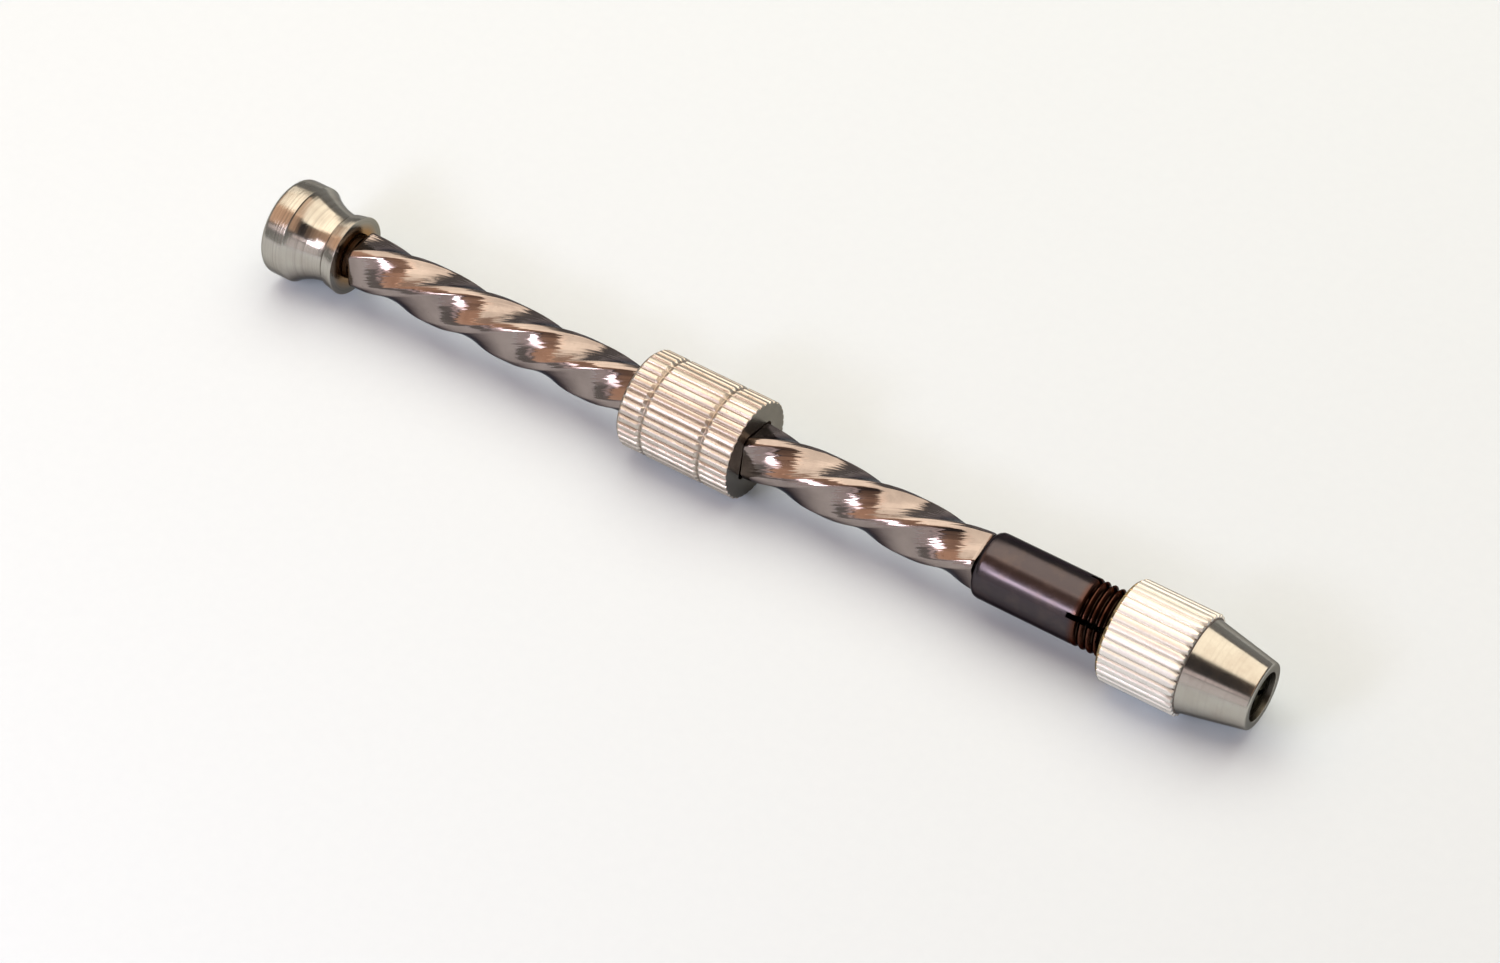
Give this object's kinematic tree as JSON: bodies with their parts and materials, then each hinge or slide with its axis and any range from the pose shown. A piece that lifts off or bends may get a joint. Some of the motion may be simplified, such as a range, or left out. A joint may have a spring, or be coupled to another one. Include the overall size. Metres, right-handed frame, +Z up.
{
  "type": "archimedes drill",
  "caption": "Small all-metal spiral push drill: a knurled sleeve slid along a twisted square spindle spins a slit collet chuck, while a swivelling palm knob is held still.",
  "frame": {"origin": "centre of the overall box at floor level, with the tool lying on its side", "axes": "+X along the spindle from the palm knob towards the nose of the chuck, +Z up, +Y to the left of someone looking along +X"},
  "size_m": [0.109, 0.01, 0.0101],
  "materials": {
    "plated_steel": "bright nickel plate over turned steel",
    "drawn_steel": "bright, drawn and twisted",
    "black_steel": "satin black oxide",
    "bearing_bronze": "plain bearing bronze",
    "plain_steel": "plain turned"
  },
  "bodies": {
    "palm_knob": {"knob": "plated_steel", "pivot_bush": "bearing_bronze", "thrust_washer": "plain_steel"},
    "spindle_assembly": {"spindle": "drawn_steel", "retaining_washer": "plain_steel", "pivot_screw": "plain_steel", "collet_stem": "black_steel"},
    "slider": {"slider_sleeve": "plated_steel", "rear_drive_plate": "plated_steel"},
    "chuck_nut": {"chuck_nut": "plated_steel"}
  },
  "joints": [
    {"name": "slider_slide", "type": "slide", "parent": "palm_knob", "child": "slider", "axis": [1, 0, 0], "range_m": [-0.034, 0.0248]},
    {"name": "spindle_spin", "type": "hinge", "parent": "palm_knob", "child": "spindle_assembly", "pos_m": [0, 0, 0.00505], "axis": [1, 0, 0], "range_deg": [-338.41, 246.84]},
    {"name": "chuck_nut_turn", "type": "hinge", "parent": "spindle_assembly", "child": "chuck_nut", "pos_m": [0.04727, 0, 0.00505], "axis": [1, 0, 0], "range_deg": [-270, 810]}
  ],
  "couplings": [
    {"joint": "spindle_spin", "follows": "slider_slide", "rad_per_m": 173.71}
  ]
}
